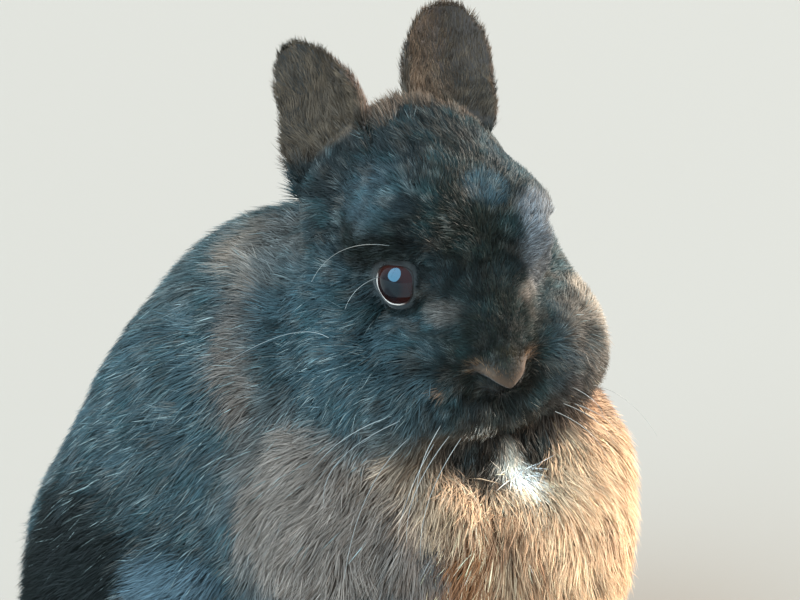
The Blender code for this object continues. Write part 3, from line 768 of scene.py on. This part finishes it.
def tuftDensity(middle):  # tufts a square mm, denser where the hair is short
    hair = coatAt(middle)[1][:, 0] / mm
    inHead = nearPlace(toHead(middle), headReach["whole"][0], coatMake["headFade"])
    more = coatMake["feetMore"] + (coatMake["headMore"] - coatMake["feetMore"]) * inHead
    density = coatMake["perArea"] * (1 + more * smoothStep(*coatMake["shortHair"], hair))
    left = np.ones(len(middle))
    for height, share in sparse:
        left[middle[:, 2] < height * mm] = share
    density *= left
    for side in bothSides:
        level = eyeLevel(middle, side)[0]
        near = np.linalg.norm(middle - eyeMiddle[side], axis=1) < bareMake["roundEye"] * mm
        density *= np.where(near & (level < bareMake["level"]), 0.0, 1.0)
    bare = sum(bareMake[name] * share for name, share in faceGrooves(middle).items())
    return density * (1 - np.clip(bare, 0, bareMake["most"]))


def scatterRoots(mesh, draw):  # random roots and the skin's normals there
    points, normals = verticesOf(mesh), normalsOf(mesh)
    mesh.calc_loop_triangles()
    corners = np.empty(len(mesh.loop_triangles) * 3, dtype=np.int64)
    mesh.loop_triangles.foreach_get("vertices", corners)
    corners = corners.reshape(-1, 3)
    a, b, c = (points[corners[:, k]] for k in range(3))
    area = np.linalg.norm(np.cross(b - a, c - a), axis=1) / 2 / mm ** 2
    share = np.cumsum(area * tuftDensity((a + b + c) / 3))
    count = int(share[-1])
    picked = np.searchsorted(share, draw.uniform(0, share[-1], count))
    u, v = draw.uniform(size=count), draw.uniform(size=count)
    flip = u + v > 1
    u[flip], v[flip] = 1 - u[flip], 1 - v[flip]
    w = 1 - u - v
    tri = corners[picked]
    roots, ways = (field[tri[:, 0]] * w[:, None] + field[tri[:, 1]] * u[:, None]
                   + field[tri[:, 2]] * v[:, None] for field in (points, normals))
    return roots, unit(ways)


def nearestSeed(points):  # a random clump centre for each point, by a jittered grid
    cell = clumpMake["cell"] * mm
    grid = np.floor(points / cell).astype(np.int64)
    best = np.full(len(points), 1e9)
    centre = np.zeros_like(points)
    tone = np.zeros(len(points))
    for step in np.ndindex(3, 3, 3):
        key = grid + np.array(step) - 1
        mixed = key @ np.array(clumpMake["axes"]) + clumpMake["seed"]
        jitter = []
        for _ in range(4):
            mixed = (mixed * clumpMake["times"] + clumpMake["plus"]) & clumpMake["mask"]
            jitter.append((mixed >> 8) % clumpMake["steps"] / clumpMake["steps"])
        place = (key + np.stack(jitter[:3], 1)) * cell
        apart = ((place - points) ** 2).sum(1)
        closer = apart < best
        best[closer] = apart[closer]
        centre[closer] = place[closer]
        tone[closer] = jitter[3][closer]
    return centre, tone


def tuftShapes(roots, ways, draw):  # each tuft's lie, side, length, height, width, pull and tone
    lie, sizes = coatAt(roots)
    long, deep, wide = sizes.T
    count = len(roots)
    aside = np.cross(ways, lie)
    stray = sum(much * waves(roots, size * mm, seed) for much, size, seed in tuftMake["stray"])
    lie = lie + stray[:, None] * aside + draw.normal(0, tuftMake["scatter"], (count, 3))
    lie = unit(lie - ways * (lie * ways).sum(1)[:, None])
    centre, tone = nearestSeed(roots)
    base, more = tuftMake["byTone"]
    long = long * draw.uniform(*tuftMake["long"], count) * (base + more * tone)
    high = deep * draw.uniform(*tuftMake["high"], count)
    low, full = clumpMake["pullFrom"]
    pull = (centre - roots) * clumpMake["pull"] * smoothStep(low * mm, full * mm, long)[:, None]
    pull = pull - ways * (pull * ways).sum(1)[:, None]
    roll = np.radians(draw.uniform(-tuftMake["roll"], tuftMake["roll"], count))[:, None]
    side = np.cross(ways, lie)
    side = side * np.cos(roll) + ways * np.sin(roll)
    return lie, side, long, high, wide * tuftMake["thin"], pull, tone


def earLining(roots, ways):  # 1 on the inside of an ear's cup
    inside = np.zeros(len(roots))
    for side in bothSides:
        near, place = inEar(roots, side)
        cup = turnHead @ unit(np.array(earFrames[side]["cup"], float))
        inside = np.maximum(inside, near * smoothStep(0.0, 0.35, ways @ cup))
    return inside


def unwrapped(places, ways, name):  # flat 0 to 1 places of the roots, one for each spot of the skin
    core = places.mean(0) - ways.mean(0) * bakeMake["core"] * mm
    away = unit(places - core)
    front = unit(away.mean(0))
    right = unit(np.cross(front, (0.05, 0.03, 1.0)))  # nearly upright, so never along the front
    up = np.cross(right, front)
    stretch = np.sqrt(2 / (1 + np.clip(away @ front, -0.98, 1)))
    flat = np.stack([away @ right * stretch, away @ up * stretch], 1)
    if name.startswith("furEar"):  # a thin leaf: its two faces side by side
        side = name[6:].lower()
        local = inEar(places, side)[1] / bakeMake["leaf"]
        cup = turnHead @ unit(np.array(earFrames[side]["cup"], float))
        flat = np.stack([local[:, 0] + np.where(ways @ cup > 0, bakeMake["side"], 0), local[:, 2]], 1)
    low, high = flat.min(0), flat.max(0)
    return bakeMake["margin"] + (1 - 2 * bakeMake["margin"]) * (flat - low) / (high - low)


def hairColours(roots, ways, tone, draw):  # colour of each tuft, and how light it is
    base = markingsAndPaintedLight(roots)
    blend(base, earLining(roots, ways), earColours["inside"])
    local = toHead(roots)
    for onHead, at, reach, hexColour, much in paleHairs:
        level = np.linalg.norm(((local if onHead else roots / mm) - at) / np.array(reach), axis=1)
        share = much * smoothStep(*paleFade, level)
        if not onHead:
            share = share * (1 - headShare(local))
        picked = draw.uniform(size=len(roots)) < share
        base[picked] = rgb(hexColour) * coatLift
    least, more = tuftShade["byTone"]
    glow = draw.lognormal(0.0, tuftShade["spread"], len(roots)) * (least + more * tone)
    much, size, seed = tuftShade["patch"]
    glow *= 1 + much * waves(roots, size * mm, seed)
    return base, np.maximum(glow, whitePatch["glow"] * whiteShare(roots))


def taper(stop):  # half a tuft's width at a share of its length, fullest in the middle
    return 0.5 * (0.75 + 0.5 * stop) if stop < 0.5 else 0.5 * 1.25 * (1 - stop) ** 0.7


def tuftPoints(roots, ways, shapes):  # rings of places along each tuft, with their shade and UV offset
    lie, side, long, high, wide, pull, _ = shapes
    rings, shades, across = [], [], []
    dark, lighter = tuftShade["along"]
    for stop in tuftMake["stops"]:
        rise = 1 - (1 - stop) ** tuftMake["arch"]
        middle = (roots - ways * tuftMake["sink"] * mm + lie * (long * stop)[:, None]
                  + ways * (high * rise)[:, None] + pull * stop ** tuftMake["follow"])
        half = wide * taper(stop)
        if stop < 1.0:
            rings += [middle - side * half[:, None], middle + side * half[:, None]]
            across += [(-1, stop), (1, stop)]
        else:
            rings.append(middle)
            across.append((0, 1))
        shades += [dark + lighter * stop] * (len(rings) - len(shades))
    points = np.stack(rings, 1).reshape(-1, 3)
    points[:, 2] = np.maximum(points[:, 2], tuftMake["clear"] * mm)  # no tip goes through the floor
    return points, np.array(shades), np.array(across)


def meshOfTufts(name, points, count):  # quads up each tuft and a triangle at its tip
    per = len(points) // count
    first = np.arange(count)[:, None] * per
    quads = [first + np.array([k, k + 1, k + 3, k + 2]) for k in range(0, per - 3, 2)]
    tips = first + np.array([per - 3, per - 2, per - 1])
    loops = np.concatenate([np.concatenate(quads, 1), tips], 1).ravel()
    sizes = np.tile([4] * len(quads) + [3], count)
    starts = np.concatenate([[0], np.cumsum(sizes)[:-1]])
    mesh = bpy.data.meshes.new(name)
    mesh.vertices.add(len(points))
    mesh.vertices.foreach_set("co", points.ravel())
    mesh.loops.add(len(loops))
    mesh.loops.foreach_set("vertex_index", loops.astype(np.int32))
    mesh.polygons.add(len(sizes))
    mesh.polygons.foreach_set("loop_start", starts.astype(np.int32))
    mesh.polygons.foreach_set("use_smooth", np.ones(len(sizes), dtype=bool))
    mesh.update(calc_edges=True)
    return mesh, loops, count * (2 * len(quads) + 1)


def growCoat(name, roots, ways, draw, material):
    shapes = tuftShapes(roots, ways, draw)
    base, glow = hairColours(roots, ways, shapes[-1], draw)
    points, shades, across = tuftPoints(roots, ways, shapes)
    mesh, loops, triangles = meshOfTufts(name, points, len(roots))
    # shades paint each tuft darker towards its root: painted shade inside the coat
    colours = base[:, None, :] * glow[:, None, None] * shades[None, :, None]
    storeColour(mesh, "coatColour", np.clip(colours, 0, 1).reshape(-1, 3))
    patch = unwrapped(roots, ways, name)[:, None, :] + across[None] * bakeMake["half"]
    layer = mesh.uv_layers.new(name="OFBake")
    layer.data.foreach_set("uv", patch.reshape(-1, 2)[loops].astype(np.float32).ravel())
    mesh.materials.append(material)
    obj = bpy.data.objects.new(name, mesh)
    bpy.context.scene.collection.objects.link(obj)
    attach(obj, "root")
    print(name, len(roots), "tufts", triangles, "triangles")
    return triangles


def growAllFur(skin):
    draw = np.random.default_rng(coatMake["seed"])
    roots, ways = scatterRoots(skin.data, draw)
    ears = [inEar(roots, side)[0] > 0.5 for side in bothSides]
    middles = np.array([fromHead(at) if head else np.array(at) * mm for _, at, head in coatPieces])
    piece = np.argmin(((roots[:, None, :] - middles[None]) ** 2).sum(2), axis=1)
    names = [name for name, _, _ in coatPieces] + ["furEarLeft", "furEarRight"]
    for k, ear in enumerate(ears):
        piece[ear] = len(coatPieces) + k
    material = furMaterial()
    total = 0
    for k, name in enumerate(names):
        here = piece == k
        total += growCoat(name, roots[here], ways[here], draw, material)
    print("coat grown,", total, "triangles")


growAllFur(skin)
skin.data.calc_loop_triangles()
applyModifier(skin, "DECIMATE", ratio=skinMake["most"] / len(skin.data.loop_triangles))
print("skin thinned to", len(skin.data.polygons), "triangles")

# Eyes: a wet ball with a cornea, and the bare edge of the lids

eyeMake = {"cornea": 0.45, "corneaReach": (0.70, 0.15), "fibreStep": 0.4}  # mm, and shares of a right angle


def eyeMaterial():  # dark red brown iris and wide pupil under a wet cornea, mirror smooth, which
    # is what shows the sky as one bright patch: IOR 1.45, between the tear film's and the lens's
    # Its reflections are tinted cyan: a painted sky colour in the glint of the lamp.
    material, tree, shader = newMaterial("wet eye", {
        "Roughness": 0.03, "IOR": 1.45, "Specular IOR Level": 0.8, "Specular Tint": linear("#9adeff")})
    level = addNode(tree, "Attribute", {"attribute_name": "fromPupil"})
    around = addNode(tree, "Attribute", {"attribute_name": "roundPupil"})
    fibres = addNode(tree, "TexNoise", values={"Scale": 9.0, "Detail": 4.0},
                     links={"Vector": around.outputs["Vector"]})
    blurred = addNode(tree, "Math", {"operation": "MULTIPLY_ADD"}, {1: 0.10},
                      {0: fibres.outputs["Fac"], 2: level.outputs["Fac"]})
    colourBy(tree, shader, blurred.outputs["Value"], [
        (0.0, "#120807"), (0.30, "#180b08"), (0.42, "#2b120d"), (0.62, "#331711"), (0.80, "#1d0e0a"),
        (0.95, "#0e0706")])
    return material


def makeEye(side, material):
    forward, up, out = eyeAxes(side)
    deselectAll()
    bpy.ops.mesh.primitive_uv_sphere_add(segments=96, ring_count=64, radius=eyeRadius)
    obj = bpy.context.object
    obj.name = obj.data.name = "eyeball" + side.title()
    points = verticesOf(obj.data)
    level = np.degrees(np.arccos(np.clip(points[:, 2] / eyeRadius, -1, 1))) / 90
    bulge = eyeMake["cornea"] * mm * smoothStep(*eyeMake["corneaReach"], level)
    points = points * (1 + bulge / eyeRadius)[:, None]
    flat = unit(points[:, :2])
    turned = points @ np.array([forward, up, out]) + eyeMiddle[side]
    moveVertices(obj.data, turned)
    faceOutwards(obj)
    storeValues(obj.data, "fromPupil", level)
    ring = np.concatenate([flat, level[:, None] * eyeMake["fibreStep"]], 1)
    storeValues(obj.data, "roundPupil", ring, "FLOAT_VECTOR", "vector")
    obj.data.materials.append(material)
    bpy.ops.object.shade_smooth()
    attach(obj, "root")
    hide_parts("eye_" + side)


lidMake = {"thick": 0.45, "broad": 0.62, "stand": 0.12, "gauge": 0.25, "outset": 0.02}  # mm, then shares


def lidMaterial():  # bare damp lid edge: satin skin, paler below
    material, tree, shader = newMaterial("damp lid skin", {
        "Roughness": 0.45, "IOR": 1.4, "Specular IOR Level": 0.3})
    pale = addNode(tree, "Attribute", {"attribute_name": "paleness"})
    colourBy(tree, shader, pale.outputs["Fac"], [(0.0, "#100b0a"), (0.35, "#3a2823"), (0.9, "#d8cbc2")])
    return material


def makeLid(side, material):  # a ring bent to the eye's opening
    forward, up, out = eyeAxes(side)
    deselectAll()
    bpy.ops.mesh.primitive_torus_add(major_segments=96, minor_segments=12, major_radius=1.0,
                                     minor_radius=lidMake["gauge"])
    obj = bpy.context.object
    obj.name = obj.data.name = "lidEdge" + side.title()
    points = verticesOf(obj.data)
    angle = np.arctan2(points[:, 1], points[:, 0])
    ringOut = (np.linalg.norm(points[:, :2], axis=1) - 1.0) / lidMake["gauge"]
    ringUp = points[:, 2] / lidMake["gauge"]
    ring = np.stack([np.cos(angle), np.sin(angle)], 1)
    ring = np.sign(ring) * np.abs(ring) ** (2 / eyeOpening["power"])
    if side == "left":
        ring[:, 0] = np.where(ring[:, 0] > 0, ring[:, 0] * eyeOpening["leftFront"], ring[:, 0])
    flat = ring @ np.array([eyeOpening["front"], eyeOpening["top"]]) * mm
    grow = 1 + ringOut * lidMake["broad"] * mm / 2 / np.linalg.norm(flat, axis=1) + lidMake["outset"]
    x, y = (flat * grow[:, None] / eyeRadius).T
    z = np.sqrt(np.maximum(1 - x * x - y * y, 0.02))
    far = eyeRadius + (lidMake["stand"] + ringUp * lidMake["thick"] / 2) * mm
    turned = np.stack([x, y, z], 1) * far[:, None] @ np.array([forward, up, out]) + eyeMiddle[side]
    moveVertices(obj.data, turned)
    low = smoothStep(-0.1, 0.8, -0.7 * ring[:, 0] - 0.75 * ring[:, 1])
    storeValues(obj.data, "paleness", low)
    obj.data.materials.append(material)
    faceOutwards(obj)
    bpy.ops.object.shade_smooth()
    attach(obj, "root")


eyeLook, lidLook = eyeMaterial(), lidMaterial()
for eyeSide in bothSides:
    makeEye(eyeSide, eyeLook)
    makeLid(eyeSide, lidLook)
print("eyes and lids made")

# Whiskers: long tapered hairs from the pads, the brow and the cheek

whiskerMake = {"root": 0.095, "tip": 0.03, "points": 16,  # mm thick, and points along each
               "low": -20, "left": 0.6}  # those rooted below this are on both sides, shorter on the left
whiskers = [  # root, middle and tip of each in head mm, on the right
    [(-23, -27, -19), (-46, -27, -26), (-54, -32, -37)],
    [(-19, -30, -22), (-28, -36, -29), (-31, -40, -37)],
    [(-17, -30, -27), (-30, -37, -36), (-36, -44, -46)],
    [(-21, -29, -29), (-31, -37, -34), (-38, -43, -42)],
    [(-25, -27, -25), (-42, -34, -34), (-54, -44, -52)],
    [(-14, -31, -28), (-27, -39, -38), (-33, -46, -50)],
    [(-38, 0, -8), (-50, 16, -16), (-72, 38, -46)],
    [(-22, -27, -18), (-42, -20, -26), (-52, -12, -46)],
    [(-22, -4, 19), (-36, -5, 22), (-46, -8, 17)],
    [(-25, -4, 10), (-33, -8, 11), (-38, -11, 8)],
]


def streakedKeratin(name, roughness, scale, detail, dark, pale):  # IOR 1.55, toned by noise
    material, tree, shader = newMaterial(name, {"Roughness": roughness, "IOR": 1.55})
    tone = addNoise(tree, scale, detail)
    colourBy(tree, shader, tone.outputs["Fac"], [(0.3, dark), (0.7, pale)])
    return material


def whiskerMaterial():  # pale hollow keratin: glossy, with tones about 17 mm apart
    return streakedKeratin("pale whisker keratin", 0.3, 60.0, 1.0, "#787d7d", "#aeb3b2")


def makeWhiskers():
    curve = bpy.data.curves.new("whiskers", "CURVE")
    curve.dimensions = "3D"
    curve.bevel_depth = 1.0
    curve.bevel_resolution = 1
    curve.use_fill_caps = True
    for whisker in whiskers:
        for side in (1, -1) if whisker[0][2] < whiskerMake["low"] else (1,):
            root, middle, tip = (np.array(place, float) * (side, 1, 1) for place in whisker)
            if side == -1:
                middle, tip = (root + (place - root) * whiskerMake["left"] for place in (middle, tip))
            bend = 2 * middle - (root + tip) / 2  # the arc passes through the middle
            spline = curve.splines.new("POLY")
            spline.points.add(whiskerMake["points"] - 1)
            for k, point in enumerate(spline.points):
                t = k / (whiskerMake["points"] - 1)
                place = root * (1 - t) ** 2 + 2 * bend * t * (1 - t) + tip * t ** 2
                point.co = (*fromHead(place), 1.0)
                point.radius = (whiskerMake["root"] * (1 - t) + whiskerMake["tip"] * t) * mm
    obj = bpy.data.objects.new("whiskers", curve)
    bpy.context.scene.collection.objects.link(obj)
    makeActive(obj)
    bpy.ops.object.convert(target="MESH")
    obj = bpy.context.object
    obj.data.materials.clear()
    obj.data.materials.append(whiskerMaterial())
    bpy.ops.object.shade_smooth()
    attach(obj, "root")


makeWhiskers()
print("whiskers made")

# Claws: the CAD horns, rounded

clawNodes = [f"{limb}_claw_{side}_{number}" for limb in ("fore", "hind") for side in bothSides
             for number in range(1, 5)]


def clawMaterial():  # dark horn: satin, with streaks about 1 mm apart
    return streakedKeratin("dark claw horn", 0.35, 900.0, 2.0, "#2b2420", "#5a4c42")


claws = copyOfNodes(clawNodes, "claws")
applyModifier(claws, "SUBSURF", levels=2, render_levels=2)
claws.data.materials.append(clawMaterial())
makeActive(claws)
bpy.ops.object.shade_smooth()
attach(claws, "root")
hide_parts(*clawNodes)
print("claws rounded")
